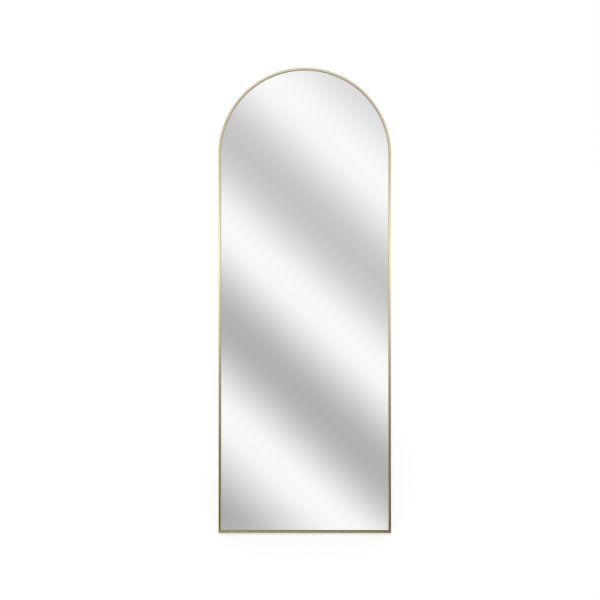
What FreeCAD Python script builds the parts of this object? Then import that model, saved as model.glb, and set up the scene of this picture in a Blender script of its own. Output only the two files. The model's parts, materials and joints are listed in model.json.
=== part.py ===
import FreeCAD, Part
import math
import os

# Leaning floor mirror: an arched sheet of silvered glass in a slim aluminium channel frame, with a
# U-shaped tube stand hinged to its back.
#
# Sizes are in millimetres. Every piece is drawn with the mirror upright and the stand folded:
# X to the right, Y from the front face towards the back, Z up from the underside of the bottom rail.
# The stand is then swung open, and the whole mirror is leaned back and set on the floor, so that the
# floor is Z = 0 and the origin is the middle of the footprint.

# ---------------------------------------------------------------- driving dimensions
WIDTH = 612.0                  # over the frame; the arch is a half circle of this width
HEIGHT = 1650.0                # along the mirror, from the underside of the bottom rail
LEAN_DEG = 12.0                # of the mirror from upright
SPLAY_DEG = 5.0                # of the stand's legs from upright, the other way

# Frame extrusion: a front lip, a groove for the glass, and an open channel behind the groove
FRAME_DEPTH = 30.0
WALL = 1.4
FACE_FLAT = 6.6                # flat front face, seen from the front
BEVEL_WIDTH = 2.6              # inner bevel, seen from the front
BEVEL_DEPTH = 2.8
LIP_EDGE = 1.0                 # thickness of the bevel's inner edge
LIP_FOOT = 1.8                 # width of the land that the glass rests on
CHANNEL_WIDTH = 9.8            # over the rear channel
SLOT_WIDTH = 5.0               # mouth of the rear channel
EDGE_RADIUS = 1.0              # outer front edge
BACK_CHAMFER = 0.5             # outer back edge

# What the groove holds, front to back
GLASS_THICKNESS = 4.0
FILM_THICKNESS = 0.2
FOAM_THICKNESS = 2.0
BOARD_THICKNESS = 5.0
EDGE_BLOCK_THICKNESS = 1.6     # between the edge of the glass and the frame
EDGE_BLOCK_LENGTH = 60.0
FOOT_BLOCK_X = 150.0
SIDE_BLOCK_HEIGHT = 300.0      # of the lower block on each side
SIDE_BLOCK_DROP = 190.0        # of the upper block below the foot of the arch

# Bottom corners: an L-shaped key in the rear channel, wedged by grub screws
KEY_ARM = 46.0
KEY_THICKNESS = 3.0
KEY_CLEARANCE = 0.1
GRUB_RADIUS = 2.0
GRUB_PLACE = 30.0              # along each arm, from the frame's corner
GRUB_RECESS = 0.6              # of the screw's end below the key's back face
GRUB_SOCKET = 2.0              # across the flats
GRUB_SOCKET_DEPTH = 2.0

# Keyhole hangers on the inner sides of the stiles
HANGER_DROP = 104.0            # of the plate's middle below the foot of the arch
HANGER_LENGTH = 50.0
HANGER_REACH = 36.0
HANGER_SHEET = 1.5
HANGER_FLANGE = 12.0
HANGER_BEND = 1.8
KEYHOLE_RADIUS = 5.0
KEYHOLE_SLOT_RADIUS = 2.5
KEYHOLE_SLOT_RISE = 13.0
KEYHOLE_INSET = 21.0           # from the stile's inner side
KEYHOLE_DROP = 6.0             # of the round hole below the plate's middle
HANGER_SCREW_SPACING = 30.0

# Rubber pads
PAD_LENGTH = 80.0
PAD_DEPTH = 12.0
PAD_BACK_THICKNESS = 1.6
PAD_INSET = 24.0               # from the frame's side
BUMPER_RADIUS = 4.4
BUMPER_THICKNESS = 2.5
BUMPER_CHAMFER = 0.9
BUMPER_ARCH_DEG = 45.0         # of the upper bumpers from the top of the arch
BUMPER_LOW_HEIGHT = 70.0

# Stand hinge
HINGE_HEIGHT = 930.0
LEG_X = 150.0                  # each leg from the middle
HINGE_SHEET = 1.5
PLATE_WIDTH = 60.0
PLATE_LENGTH = 60.0
PLATE_CORNER = 6.0
PLATE_HOLE_X = 24.5
PLATE_HOLE_Z = 21.0
EAR_FOOT = 26.0
EAR_RADIUS = 6.6
EAR_CORNER = 5.2
WINDOW_WIDTH = 12.0            # where each ear was cut out of the plate
WINDOW_CORNER = 2.0
PIN_RADIUS = 2.5
PIN_HEAD_RADIUS = 4.6
PIN_HEAD_HEIGHT = 2.2
KNUCKLE_WIDTH = 8.0
KNUCKLE_TAIL = 17.0            # beyond the pin
KNUCKLE_TONGUE = 20.0          # from the pin to the tube's end
KNUCKLE_COLLAR = 4.0
KNUCKLE_SHANK = 24.0           # length inside the tube
KNUCKLE_TAIL_TAPER = 1.0       # of the side away from the mirror
KNUCKLE_NEAR_CORNER = 1.0
KNUCKLE_FAR_CORNER = 3.5

# Stand tube
TUBE_RADIUS = 6.0
TUBE_WALL = 1.0
TUBE_BEND = 45.0               # radius of the tube's middle line
SLEEVE_RADIUS = 7.5
SLEEVE_LENGTH = 55.0
SLEEVE_X = 72.0                # middle of each sleeve

# Pan-head screws: shank radius, head radius, head height
SCREW_RADIUS = 1.75
SCREW_HEAD_RADIUS = 3.6
SCREW_HEAD_HEIGHT = 2.4
HANGER_SCREW_LENGTH = 7.0
BOARD_SCREW_LENGTH = 6.0

# Clearances
RUNNING = 0.05                 # radial, round the hinge pin and in drilled holes
GAP = 0.3                      # between parts that move past each other

# ---------------------------------------------------------------- derived places
LEAN = math.radians(LEAN_DEG)
SWING_DEG = LEAN_DEG + SPLAY_DEG          # of the stand, from folded to open
HALF = WIDTH / 2
ARCH_CENTRE = HEIGHT - HALF    # the foot of the arch, where the stiles end
HANGER_HEIGHT = ARCH_CENTRE - HANGER_DROP
FACE_WIDTH = FACE_FLAT + BEVEL_WIDTH
SECTION_WIDTH = max(FACE_WIDTH, CHANNEL_WIDTH)

GLASS_FRONT = BEVEL_DEPTH + LIP_EDGE
GLASS_BACK = GLASS_FRONT + GLASS_THICKNESS
FILM_BACK = GLASS_BACK + FILM_THICKNESS
FOAM_BACK = FILM_BACK + FOAM_THICKNESS
BOARD_BACK = FOAM_BACK + BOARD_THICKNESS
STACK_INSET = WALL + EDGE_BLOCK_THICKNESS  # of the glass edge from the frame's outer face
CHANNEL_FLOOR = BOARD_BACK + WALL
CHANNEL_ROOF = FRAME_DEPTH - WALL
CHANNEL_SIDE = CHANNEL_WIDTH - WALL        # inner face of the channel's inner wall
SLOT_NEAR = (WALL + CHANNEL_SIDE - SLOT_WIDTH) / 2
SLOT_FAR = SLOT_NEAR + SLOT_WIDTH

PIN_RISE = SLEEVE_RADIUS + GAP             # pin's middle above the board, so the folded feet clear it
PIN_Y = BOARD_BACK + PIN_RISE
ROCKER = PIN_RISE - HINGE_SHEET - GAP      # pin's middle to the knuckle's two stop faces
EAR_INNER = KNUCKLE_WIDTH / 2 + GAP
EAR_OUTER = EAR_INNER + HINGE_SHEET

FLOOR_RISE = FRAME_DEPTH * math.sin(LEAN) + PAD_BACK_THICKNESS * math.cos(LEAN)
MIDDLE_Y = (HEIGHT * math.sin(LEAN) + FRAME_DEPTH * math.cos(LEAN)) / 2
PIN_HEIGHT = HINGE_HEIGHT * math.cos(LEAN) - PIN_Y * math.sin(LEAN) + FLOOR_RISE
LEG_LENGTH = (PIN_HEIGHT - SLEEVE_RADIUS) / math.cos(math.radians(SPLAY_DEG))

X_AXIS = FreeCAD.Vector(1, 0, 0)
Y_AXIS = FreeCAD.Vector(0, 1, 0)
Z_AXIS = FreeCAD.Vector(0, 0, 1)
ORIGIN = FreeCAD.Vector(0, 0, 0)
OVER = 1.0                     # how far a cutting tool runs past what it cuts


# ---------------------------------------------------------------- drawing helpers
def in_xy(z):
    """Places a plane point (a, b) at X = a, Y = b."""
    return lambda a, b: FreeCAD.Vector(a, b, z)


def in_xz(y):
    """Places a plane point (a, b) at X = a, Z = b."""
    return lambda a, b: FreeCAD.Vector(a, y, b)


def in_yz(x):
    """Places a plane point (a, b) at Y = a, Z = b."""
    return lambda a, b: FreeCAD.Vector(x, a, b)


def outline(corners, place):
    """A face whose corners are (a, b) or (a, b, radius of the rounded corner)."""
    starts_and_ends = []
    count = len(corners)
    for i, corner in enumerate(corners):
        here = FreeCAD.Vector(corner[0], corner[1], 0)
        radius = corner[2] if len(corner) > 2 else 0.0
        before = corners[i - 1]
        after = corners[(i + 1) % count]
        to_before = (FreeCAD.Vector(before[0], before[1], 0) - here).normalize()
        to_after = (FreeCAD.Vector(after[0], after[1], 0) - here).normalize()
        if radius == 0.0:
            starts_and_ends.append((here, None, here))
            continue
        half_angle = to_before.getAngle(to_after) / 2
        reach = radius / math.tan(half_angle)
        inward = (to_before + to_after).normalize()
        middle = here + inward * (radius / math.sin(half_angle) - radius)
        starts_and_ends.append((here + to_before * reach, middle, here + to_after * reach))
    edges = []
    for i, (start, middle, end) in enumerate(starts_and_ends):
        if middle is not None:
            edges.append(Part.Arc(place(start.x, start.y), place(middle.x, middle.y),
                                  place(end.x, end.y)).toShape())
        following = starts_and_ends[(i + 1) % count][0]
        if end.distanceToPoint(following) > 1e-6:
            edges.append(Part.LineSegment(place(end.x, end.y),
                                          place(following.x, following.y)).toShape())
    return Part.Face(Part.Wire(edges))


def box(x0, x1, y0, y1, z0, z1):
    return Part.makeBox(x1 - x0, y1 - y0, z1 - z0, FreeCAD.Vector(x0, y0, z0))


def rod(radius, start, direction, length):
    return Part.makeCylinder(radius, length, start, direction)


def mirrored(shape):
    """The same piece on the other side of the mirror."""
    return shape.mirror(ORIGIN, X_AXIS)


def turned(profile, start, direction):
    """Spins a (radius, height) profile about an axis from start along direction."""
    solid = outline(profile, in_xz(0)).revolve(ORIGIN, Z_AXIS, 360)
    solid.Placement = FreeCAD.Placement(start, FreeCAD.Rotation(Z_AXIS, direction))
    return solid


def pan_screw(head_seat, inward, length):
    """A pan-head screw; its head rests at head_seat and its shank runs inward."""
    profile = [(0, -length), (SCREW_RADIUS, -length), (SCREW_RADIUS, 0), (SCREW_HEAD_RADIUS, 0),
               (SCREW_HEAD_RADIUS, SCREW_HEAD_HEIGHT), (0, SCREW_HEAD_HEIGHT)]
    return turned(profile, head_seat, inward * -1)


# ---------------------------------------------------------------- frame
def extrusion_section(place):
    """Cross-section of the frame; a runs inward from the outer face and b back from the front."""
    slope = BEVEL_DEPTH / BEVEL_WIDTH
    slant = WALL * math.sqrt(1 + slope * slope)      # the bevel's wall, measured along b
    foot = FACE_WIDTH - LIP_FOOT
    inside_break = FACE_FLAT - (slant - WALL) / slope
    foot_root = WALL + (foot - inside_break) * slope
    return outline([
        (0, 0, EDGE_RADIUS),
        (FACE_FLAT, 0),
        (FACE_WIDTH, BEVEL_DEPTH),
        (FACE_WIDTH, GLASS_FRONT),
        (foot, GLASS_FRONT),
        (foot, foot_root),
        (inside_break, WALL),
        (WALL, WALL),
        (WALL, BOARD_BACK),
        (CHANNEL_WIDTH, BOARD_BACK),
        (CHANNEL_WIDTH, FRAME_DEPTH),
        (SLOT_FAR, FRAME_DEPTH),
        (SLOT_FAR, CHANNEL_ROOF),
        (CHANNEL_SIDE, CHANNEL_ROOF),
        (CHANNEL_SIDE, CHANNEL_FLOOR),
        (WALL, CHANNEL_FLOOR),
        (WALL, CHANNEL_ROOF),
        (SLOT_NEAR, CHANNEL_ROOF),
        (SLOT_NEAR, FRAME_DEPTH),
        (BACK_CHAMFER, FRAME_DEPTH),
        (0, FRAME_DEPTH - BACK_CHAMFER),
    ], place)


def mitre_wedge(corners):
    """A wedge over the bottom left corner, through the frame's whole depth."""
    wedge = outline(corners, lambda a, b: FreeCAD.Vector(a - HALF, -OVER, b))
    return wedge.extrude(Y_AXIS * (FRAME_DEPTH + 2 * OVER))


def hanger_screw_seats():
    """Middle of each screw on the left hanger, on the flange's face."""
    x = -HALF + CHANNEL_WIDTH + HANGER_SHEET
    y = CHANNEL_FLOOR + (FRAME_DEPTH - HANGER_SHEET - CHANNEL_FLOOR) / 2
    return [FreeCAD.Vector(x, y, HANGER_HEIGHT + side * HANGER_SCREW_SPACING / 2) for side in (-1, 1)]


def arched_frame():
    """Both stiles and the arch, bent from one length, with its ends mitred for the bottom rail."""
    left = extrusion_section(lambda a, b: FreeCAD.Vector(a - HALF, b, 0)).extrude(Z_AXIS * ARCH_CENTRE)
    reach = SECTION_WIDTH + OVER
    left = left.cut(mitre_wedge([(0, 0), (reach, reach), (reach, -OVER), (0, -OVER)]))
    for seat in hanger_screw_seats():
        left = left.cut(rod(SCREW_RADIUS + RUNNING, seat, X_AXIS * -1, HANGER_SHEET + WALL + OVER))
    arch = extrusion_section(lambda a, b: FreeCAD.Vector(a - HALF, b, ARCH_CENTRE))
    arch = arch.revolve(FreeCAD.Vector(0, 0, ARCH_CENTRE), Y_AXIS, 180)
    return left.fuse([arch, mirrored(left)])


def bottom_rail():
    rail = extrusion_section(lambda a, b: FreeCAD.Vector(-HALF, b, a)).extrude(X_AXIS * WIDTH)
    reach = SECTION_WIDTH + OVER
    wedge = mitre_wedge([(0, 0), (reach, reach), (-OVER, reach), (-OVER, 0)])
    return rail.cut([wedge, mirrored(wedge)])


def grub_places():
    """Middles of the grub screws in the left corner, as (X, Z)."""
    lane = (WALL + CHANNEL_SIDE) / 2
    return [(lane - HALF, GRUB_PLACE), (GRUB_PLACE - HALF, lane)]


def corner_key():
    near = WALL + KEY_CLEARANCE
    far = CHANNEL_SIDE - KEY_CLEARANCE
    corners = [(near, near), (KEY_ARM, near), (KEY_ARM, far), (far, far), (far, KEY_ARM), (near, KEY_ARM)]
    key = outline([(a - HALF, b) for a, b in corners], in_xz(CHANNEL_ROOF - KEY_THICKNESS))
    key = key.extrude(Y_AXIS * KEY_THICKNESS)
    holes = [rod(GRUB_RADIUS + RUNNING, FreeCAD.Vector(x, CHANNEL_FLOOR, z), Y_AXIS, FRAME_DEPTH)
             for x, z in grub_places()]
    return key.cut(holes)


def grub_screws():
    """Grub screws of the left corner; each bears on the channel's floor and lifts the key."""
    end = CHANNEL_ROOF - GRUB_RECESS
    screws = []
    for x, z in grub_places():
        body = rod(GRUB_RADIUS, FreeCAD.Vector(x, CHANNEL_FLOOR, z), Y_AXIS, end - CHANNEL_FLOOR)
        corner = GRUB_SOCKET / math.sqrt(3)
        hexagon = [(x + corner * math.cos(math.radians(60 * i)),
                    z + corner * math.sin(math.radians(60 * i))) for i in range(6)]
        socket = outline(hexagon, in_xz(end - GRUB_SOCKET_DEPTH)).extrude(Y_AXIS * (GRUB_SOCKET_DEPTH + OVER))
        screws.append(body.cut(socket))
    return screws


# ---------------------------------------------------------------- glass and what backs it
def arched_sheet(front, thickness):
    """A sheet with the outline that slides up into the frame's groove."""
    side = HALF - STACK_INSET
    foot = STACK_INSET
    start = FreeCAD.Vector(-side, front, ARCH_CENTRE)
    end = FreeCAD.Vector(side, front, ARCH_CENTRE)
    low_left = FreeCAD.Vector(-side, front, foot)
    low_right = FreeCAD.Vector(side, front, foot)
    edges = [
        Part.LineSegment(low_left, start).toShape(),
        Part.Arc(start, FreeCAD.Vector(0, front, ARCH_CENTRE + side), end).toShape(),
        Part.LineSegment(end, low_right).toShape(),
        Part.LineSegment(low_right, low_left).toShape(),
    ]
    return Part.Face(Part.Wire(edges)).extrude(Y_AXIS * thickness)


def bracket_screw_seats():
    """Middle of each screw on the left hinge bracket, on the plate's back face."""
    y = BOARD_BACK + HINGE_SHEET
    return [FreeCAD.Vector(-LEG_X + across * PLATE_HOLE_X, y, HINGE_HEIGHT + up * PLATE_HOLE_Z)
            for across in (-1, 1) for up in (-1, 1)]


def backing_board():
    board = arched_sheet(FOAM_BACK, BOARD_THICKNESS)
    pilots = [rod(SCREW_RADIUS + RUNNING, seat, Y_AXIS * -1, HINGE_SHEET + BOARD_THICKNESS - GAP)
              for seat in bracket_screw_seats()]
    return board.cut(pilots + [mirrored(pilot) for pilot in pilots])


def edge_blocks():
    """Rubber blocks that keep the glass off the metal: two under it and two up each side."""
    half = EDGE_BLOCK_LENGTH / 2
    left = [box(-FOOT_BLOCK_X - half, -FOOT_BLOCK_X + half, GLASS_FRONT, BOARD_BACK, WALL, STACK_INSET)]
    for height in (SIDE_BLOCK_HEIGHT, ARCH_CENTRE - SIDE_BLOCK_DROP):
        left.append(box(-HALF + WALL, -HALF + STACK_INSET, GLASS_FRONT, BOARD_BACK,
                        height - half, height + half))
    return left + [mirrored(block) for block in left]


# ---------------------------------------------------------------- hangers and pads
def hanger():
    """The left hanger: an L-shaped plate, screwed to the stile's inner side, with a keyhole."""
    wall = -HALF + CHANNEL_WIDTH
    flange_front = FRAME_DEPTH - HANGER_FLANGE
    section = [
        (wall, flange_front),
        (wall + HANGER_SHEET, flange_front),
        (wall + HANGER_SHEET, FRAME_DEPTH - HANGER_SHEET, HANGER_BEND - HANGER_SHEET),
        (wall + HANGER_REACH, FRAME_DEPTH - HANGER_SHEET),
        (wall + HANGER_REACH, FRAME_DEPTH),
        (wall, FRAME_DEPTH, HANGER_BEND),
    ]
    low = HANGER_HEIGHT - HANGER_LENGTH / 2
    plate = outline(section, in_xy(low)).extrude(Z_AXIS * HANGER_LENGTH)
    x = wall + KEYHOLE_INSET
    z = HANGER_HEIGHT - KEYHOLE_DROP
    start = FRAME_DEPTH - HANGER_SHEET - OVER
    depth = HANGER_SHEET + 2 * OVER
    cuts = [
        rod(KEYHOLE_RADIUS, FreeCAD.Vector(x, start, z), Y_AXIS, depth),
        rod(KEYHOLE_SLOT_RADIUS, FreeCAD.Vector(x, start, z + KEYHOLE_SLOT_RISE), Y_AXIS, depth),
        box(x - KEYHOLE_SLOT_RADIUS, x + KEYHOLE_SLOT_RADIUS, start, start + depth, z, z + KEYHOLE_SLOT_RISE),
    ]
    cuts += [rod(SCREW_RADIUS + RUNNING, seat + X_AXIS * OVER, X_AXIS * -1, HANGER_SHEET + 2 * OVER)
             for seat in hanger_screw_seats()]
    return plate.cut(cuts)


def floor_pads():
    """Rubber pads under the back of the bottom rail; their soles lie flat on the floor."""
    front = FRAME_DEPTH - PAD_DEPTH
    front_thickness = PAD_BACK_THICKNESS + PAD_DEPTH * math.tan(LEAN)
    sole = [(front, 0), (FRAME_DEPTH, 0), (FRAME_DEPTH, -PAD_BACK_THICKNESS), (front, -front_thickness)]
    pad = outline(sole, in_yz(-HALF + PAD_INSET)).extrude(X_AXIS * PAD_LENGTH)
    return [pad, mirrored(pad)]


def wall_bumpers():
    """Round bumpers on the frame's back: two on the arch and two low on the stiles."""
    profile = [(0, 0), (BUMPER_RADIUS, 0), (BUMPER_RADIUS, BUMPER_THICKNESS - BUMPER_CHAMFER),
               (BUMPER_RADIUS - BUMPER_CHAMFER, BUMPER_THICKNESS), (0, BUMPER_THICKNESS)]
    lane = HALF - CHANNEL_WIDTH / 2
    angle = math.radians(BUMPER_ARCH_DEG)
    upper = FreeCAD.Vector(-lane * math.sin(angle), FRAME_DEPTH, ARCH_CENTRE + lane * math.cos(angle))
    lower = FreeCAD.Vector(-lane, FRAME_DEPTH, BUMPER_LOW_HEIGHT)
    left = [turned(profile, place, Y_AXIS) for place in (upper, lower)]
    return left + [mirrored(bumper) for bumper in left]


# ---------------------------------------------------------------- hinge
def hinge_bracket():
    """The left bracket: a pressed plate with two ears bent up out of it, drilled for the pin."""
    x0 = -LEG_X - PLATE_WIDTH / 2
    x1 = -LEG_X + PLATE_WIDTH / 2
    z0 = HINGE_HEIGHT - PLATE_LENGTH / 2
    z1 = HINGE_HEIGHT + PLATE_LENGTH / 2
    plate = outline([(x0, z0, PLATE_CORNER), (x1, z0, PLATE_CORNER),
                     (x1, z1, PLATE_CORNER), (x0, z1, PLATE_CORNER)], in_xz(BOARD_BACK))
    plate = plate.extrude(Y_AXIS * HINGE_SHEET)
    cuts = [rod(SCREW_RADIUS + RUNNING, seat + Y_AXIS * OVER, Y_AXIS * -1, HINGE_SHEET + 2 * OVER)
            for seat in bracket_screw_seats()]
    ears = []
    half_foot = EAR_FOOT / 2
    plate_back = BOARD_BACK + HINGE_SHEET
    for side in (-1, 1):
        near = -LEG_X + side * EAR_OUTER
        far = near + side * WINDOW_WIDTH
        window = outline([(near, HINGE_HEIGHT - half_foot), (far, HINGE_HEIGHT - half_foot, WINDOW_CORNER),
                          (far, HINGE_HEIGHT + half_foot, WINDOW_CORNER), (near, HINGE_HEIGHT + half_foot)],
                         in_xz(BOARD_BACK - OVER))
        cuts.append(window.extrude(Y_AXIS * (HINGE_SHEET + 2 * OVER)))
        start = -LEG_X + min(side * EAR_INNER, side * EAR_OUTER)
        tip = PIN_Y + EAR_RADIUS
        ear = outline([(BOARD_BACK, HINGE_HEIGHT - half_foot), (plate_back, HINGE_HEIGHT - half_foot),
                       (tip, HINGE_HEIGHT - EAR_RADIUS, EAR_CORNER),
                       (tip, HINGE_HEIGHT + EAR_RADIUS, EAR_CORNER),
                       (plate_back, HINGE_HEIGHT + half_foot), (BOARD_BACK, HINGE_HEIGHT + half_foot)],
                      in_yz(start))
        ears.append(ear.extrude(X_AXIS * HINGE_SHEET))
    bracket = plate.cut(cuts).fuse(ears).removeSplitter()
    pin_hole = rod(PIN_RADIUS + RUNNING, FreeCAD.Vector(-LEG_X - EAR_OUTER - OVER, PIN_Y, HINGE_HEIGHT),
                   X_AXIS, 2 * (EAR_OUTER + OVER))
    return bracket.cut(pin_hole)


def hinge_pin():
    """The left pin, a rivet with a head outside each ear."""
    end = EAR_OUTER + PIN_HEAD_HEIGHT
    profile = [(0, -end), (PIN_HEAD_RADIUS, -end), (PIN_HEAD_RADIUS, -EAR_OUTER),
               (PIN_RADIUS, -EAR_OUTER), (PIN_RADIUS, EAR_OUTER),
               (PIN_HEAD_RADIUS, EAR_OUTER), (PIN_HEAD_RADIUS, end), (0, end)]
    return turned(profile, FreeCAD.Vector(-LEG_X, PIN_Y, HINGE_HEIGHT), X_AXIS)


# ---------------------------------------------------------------- stand, drawn folded
def tube_end():
    """Height of the tube's upper end and of the knuckle's collar."""
    return HINGE_HEIGHT - KNUCKLE_TONGUE


def knuckle():
    """The left knuckle. It rocks on its pin between two stop faces: the lower one meets the bracket
    when the stand is folded, and the slanted upper one when it is open."""
    swing = math.radians(SWING_DEG)
    collar_top = tube_end() + KNUCKLE_COLLAR
    near = PIN_Y - ROCKER
    break_up = ROCKER * math.tan(swing / 2)
    tail_top = HINGE_HEIGHT + KNUCKLE_TAIL
    tail_near = near + (KNUCKLE_TAIL - break_up) * math.tan(swing)
    far = PIN_Y + ROCKER
    side = [(near, collar_top), (near, HINGE_HEIGHT + break_up),
            (tail_near, tail_top, KNUCKLE_NEAR_CORNER),
            (far - KNUCKLE_TAIL_TAPER, tail_top, KNUCKLE_FAR_CORNER), (far, collar_top)]
    half = KNUCKLE_WIDTH / 2
    tongue = outline(side, in_yz(-LEG_X - half)).extrude(X_AXIS * KNUCKLE_WIDTH)
    foot = FreeCAD.Vector(-LEG_X, PIN_Y, tube_end())
    collar = rod(TUBE_RADIUS, foot, Z_AXIS, KNUCKLE_COLLAR)
    shank = rod(TUBE_RADIUS - TUBE_WALL - RUNNING, foot, Z_AXIS * -1, KNUCKLE_SHANK)
    body = tongue.fuse([collar, shank]).removeSplitter()
    pin_hole = rod(PIN_RADIUS + RUNNING, FreeCAD.Vector(-LEG_X - half - OVER, PIN_Y, HINGE_HEIGHT),
                   X_AXIS, KNUCKLE_WIDTH + 2 * OVER)
    return body.cut(pin_hole)


def ring(place):
    """The tube's cross-section: place turns (a, b) about the tube's middle into a point."""
    def circle(radius):
        points = [place(radius * math.cos(t), radius * math.sin(t)) for t in (0, math.pi / 2, math.pi)]
        back = place(0, -radius)
        return Part.Wire([Part.Arc(*points).toShape(), Part.Arc(points[2], back, points[0]).toShape()])
    outer = Part.Face(circle(TUBE_RADIUS))
    return outer.cut(Part.Face(circle(TUBE_RADIUS - TUBE_WALL))).Faces[0]


def stand_tube():
    """Both legs and the cross bar, bent from one tube."""
    bar_z = HINGE_HEIGHT - LEG_LENGTH
    bend_z = bar_z + TUBE_BEND
    bend_x = LEG_X - TUBE_BEND
    leg_section = ring(lambda a, b: FreeCAD.Vector(a - LEG_X, PIN_Y + b, bend_z))
    leg = leg_section.extrude(Z_AXIS * (tube_end() - bend_z))
    bend = leg_section.revolve(FreeCAD.Vector(-bend_x, PIN_Y, bend_z), Y_AXIS * -1, 90)
    bar = ring(lambda a, b: FreeCAD.Vector(-bend_x, PIN_Y + a, bar_z + b)).extrude(X_AXIS * (2 * bend_x))
    return leg.fuse([bend, bar, mirrored(bend), mirrored(leg)]).removeSplitter()


def foot_sleeve():
    """The left rubber sleeve on the cross bar, which stands on the floor."""
    bore = TUBE_RADIUS + RUNNING
    half = SLEEVE_LENGTH / 2
    profile = [(bore, -half), (SLEEVE_RADIUS, -half), (SLEEVE_RADIUS, half), (bore, half)]
    return turned(profile, FreeCAD.Vector(-SLEEVE_X, PIN_Y, HINGE_HEIGHT - LEG_LENGTH), X_AXIS)


# ---------------------------------------------------------------- placing and export
def opened(shape):
    """Swings a piece of the folded stand open about the hinge pins."""
    shape = shape.copy()
    shape.rotate(FreeCAD.Vector(0, PIN_Y, HINGE_HEIGHT), X_AXIS, SWING_DEG)
    return shape


def set_down(shape):
    """Leans a piece back with the mirror and sets it on the floor."""
    shape = shape.copy()
    shape.rotate(ORIGIN, X_AXIS, -LEAN_DEG)
    shape.translate(FreeCAD.Vector(0, -MIDDLE_Y, FLOOR_RISE))
    return shape


def save(name, *solids):
    placed = [set_down(solid) for solid in solids]
    shape = placed[0] if len(placed) == 1 else Part.makeCompound(placed)
    shape.exportStep(os.path.join("parts", name + ".step"))


def save_pair(name, left):
    save(name + "_left", left)
    save(name + "_right", mirrored(left))


def with_mirrored(solids):
    return solids + [mirrored(solid) for solid in solids]


def main():
    os.makedirs("parts", exist_ok=True)

    save("arched_frame", arched_frame())
    save("bottom_rail", bottom_rail())
    save_pair("corner_key", corner_key())
    save("corner_grub_screws", *with_mirrored(grub_screws()))

    save("mirror_glass", arched_sheet(GLASS_FRONT, GLASS_THICKNESS))
    save("shatterproof_film", arched_sheet(GLASS_BACK, FILM_THICKNESS))
    save("foam_sheet", arched_sheet(FILM_BACK, FOAM_THICKNESS))
    save("backing_board", backing_board())
    save("glass_edge_blocks", *edge_blocks())

    save_pair("hanger", hanger())
    hanger_screws = [pan_screw(seat, X_AXIS * -1, HANGER_SCREW_LENGTH) for seat in hanger_screw_seats()]
    save("hanger_screws", *with_mirrored(hanger_screws))
    save("floor_pads", *floor_pads())
    save("wall_bumpers", *wall_bumpers())

    save_pair("hinge_bracket", hinge_bracket())
    bracket_screws = [pan_screw(seat, Y_AXIS * -1, BOARD_SCREW_LENGTH) for seat in bracket_screw_seats()]
    save("bracket_screws", *with_mirrored(bracket_screws))
    save_pair("hinge_pin", hinge_pin())

    save("stand_tube", opened(stand_tube()))
    save_pair("stand_knuckle", opened(knuckle()))
    save_pair("foot_sleeve", opened(foot_sleeve()))


main()
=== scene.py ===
import json
import math

import bmesh
import bpy
import numpy as np
from mathutils import Matrix, Vector


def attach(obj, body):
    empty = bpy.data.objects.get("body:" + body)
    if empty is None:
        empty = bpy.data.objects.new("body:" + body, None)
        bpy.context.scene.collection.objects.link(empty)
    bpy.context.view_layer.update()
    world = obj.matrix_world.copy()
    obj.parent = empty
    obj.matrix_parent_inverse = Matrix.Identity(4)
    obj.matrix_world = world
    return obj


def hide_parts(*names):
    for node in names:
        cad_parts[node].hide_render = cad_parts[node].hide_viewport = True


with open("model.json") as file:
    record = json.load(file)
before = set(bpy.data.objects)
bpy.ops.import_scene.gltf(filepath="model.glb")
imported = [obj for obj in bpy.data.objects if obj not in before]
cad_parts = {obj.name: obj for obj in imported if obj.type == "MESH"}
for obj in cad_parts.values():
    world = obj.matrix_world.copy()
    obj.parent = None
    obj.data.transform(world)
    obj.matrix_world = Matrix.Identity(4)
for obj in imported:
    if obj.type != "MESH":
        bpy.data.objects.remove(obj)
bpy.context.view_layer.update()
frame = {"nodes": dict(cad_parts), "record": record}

# A leaning arched floor mirror, in metres. The mirror's own directions are RIGHT, UP (along the glass)
# and OUT (away from the face of the glass). A place on it is (x, s, n) along these three.

NODES = frame["nodes"]
RECORD = frame["record"]
X, S, N = range(3)

# ---------------------------------------------------------------- the mirror's directions and outline
FRAME_NODES = ["arched_frame", "bottom_rail"]
WALL_AXIS = Vector(next(m for m in RECORD["mounts"] if m["name"] == "wall_rest")["axis"])
LEAN = math.atan2(-WALL_AXIS.z, WALL_AXIS.y)
RIGHT = Vector((1, 0, 0))
UP = Vector((0, math.sin(LEAN), math.cos(LEAN)))
OUT = -WALL_AXIS.normalized()


def at(x, s, n):
    """A place in the shared frame, from its places along the mirror's own directions."""
    return RIGHT * x + UP * s + OUT * n


def extent(nodes, direction):
    """Lowest and highest reach of some nodes along a direction."""
    reach = [v.co.dot(direction) for name in nodes for v in NODES[name].data.vertices]
    return min(reach), max(reach)


BOTTOM_S, TOP_S = extent(FRAME_NODES, UP)
BACK_N, FRONT_N = extent(FRAME_NODES, OUT)
HALF_WIDTH = extent(FRAME_NODES, RIGHT)[1]
MIDDLE_S = (TOP_S + BOTTOM_S) / 2
ARCH_S = TOP_S - HALF_WIDTH               # height of the arch's centre

# ---------------------------------------------------------------- the frame's section, from its outer side
FACE_FLAT = 0.0066                        # the flat of the front face
BEVEL_WIDTH = 0.0026                      # the bevel between it and the glass
BEVEL_DEPTH = 0.0028
LIP_EDGE = 0.001                          # thickness of the lip's edge over the glass
LIP_FOOT = 0.0018                         # width of the lip's underside
WALL = 0.0014
GROOVE_BACK = 0.015                       # where the rear channel starts, back from the front
CHANNEL_WIDTH = 0.0098
SLOT_WIDTH = 0.005                        # the rear channel's mouth
EDGE_RADIUS = 0.001
EDGE_STEPS = 6
BACK_CHAMFER = 0.0005
ARCH_STEPS = 120

# ---------------------------------------------------------------- the stand's tube
TUBE_RADIUS = 0.006
TUBE_BEND = 0.045                         # radius of its middle line
TUBE_SIDES = 40
BEND_STEPS = 16

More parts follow.
